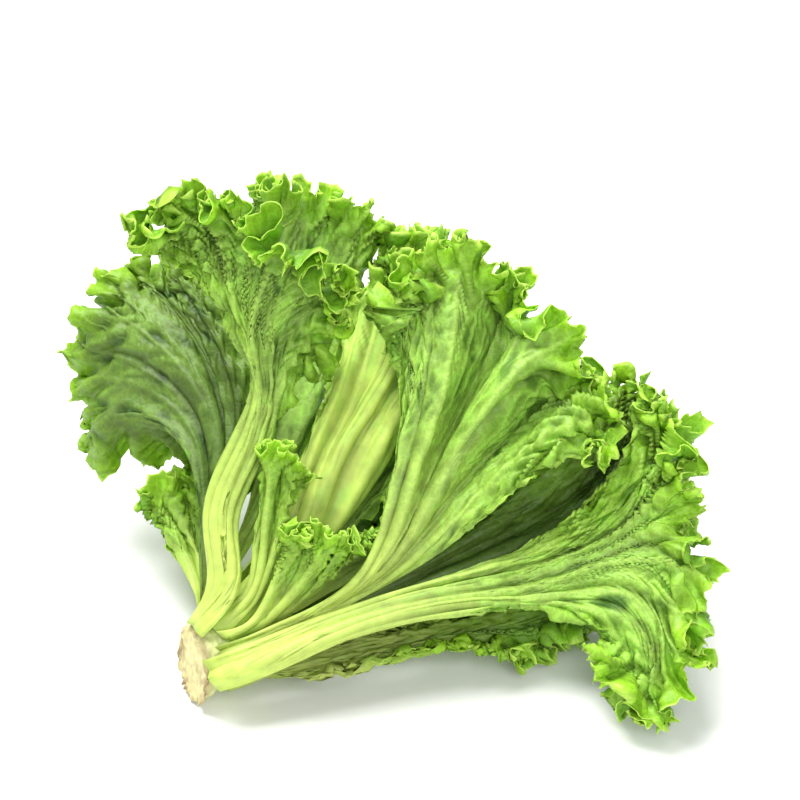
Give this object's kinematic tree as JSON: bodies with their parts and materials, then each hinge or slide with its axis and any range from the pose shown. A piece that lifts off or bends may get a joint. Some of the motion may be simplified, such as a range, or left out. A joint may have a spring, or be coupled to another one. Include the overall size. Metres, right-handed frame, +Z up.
{
  "type": "leaf lettuce head",
  "caption": "Head of loose-leaf lettuce with a cut stem and frilled, waved leaves that fan out as it lies on its side.",
  "frame": {"origin": "bottom centre of the head's box, on the table that it lies on", "axes": "+X along the head's longest extent, to the right along the table; +Y away from the side that shows best; +Z up"},
  "size_m": [0.3016, 0.2687, 0.1988],
  "materials": {
    "leaf": "soft satin leaf blade, pale ribs and yellow-green frills",
    "stem": "matt pale stem with a browned cut"
  },
  "bodies": {
    "root": {"stem_butt": "stem", "crown_leaf": "leaf", "left_leaf": "leaf", "left_leaf_low": "leaf", "front_leaf_middle": "leaf", "front_leaf_high": "leaf", "front_leaf_low": "leaf", "under_leaf": "leaf", "back_leaf_top": "leaf", "back_leaf_high": "leaf", "back_leaf_low": "leaf", "bottom_leaf": "leaf", "bottom_leaf_right": "leaf", "inner_leaf_top": "leaf", "inner_leaf_crest": "leaf", "inner_leaf_back": "leaf", "small_leaf_left": "leaf", "small_leaf_middle": "leaf", "heart_leaf_1": "leaf", "heart_leaf_2": "leaf", "heart_leaf_3": "leaf"}
  },
  "joints": []
}
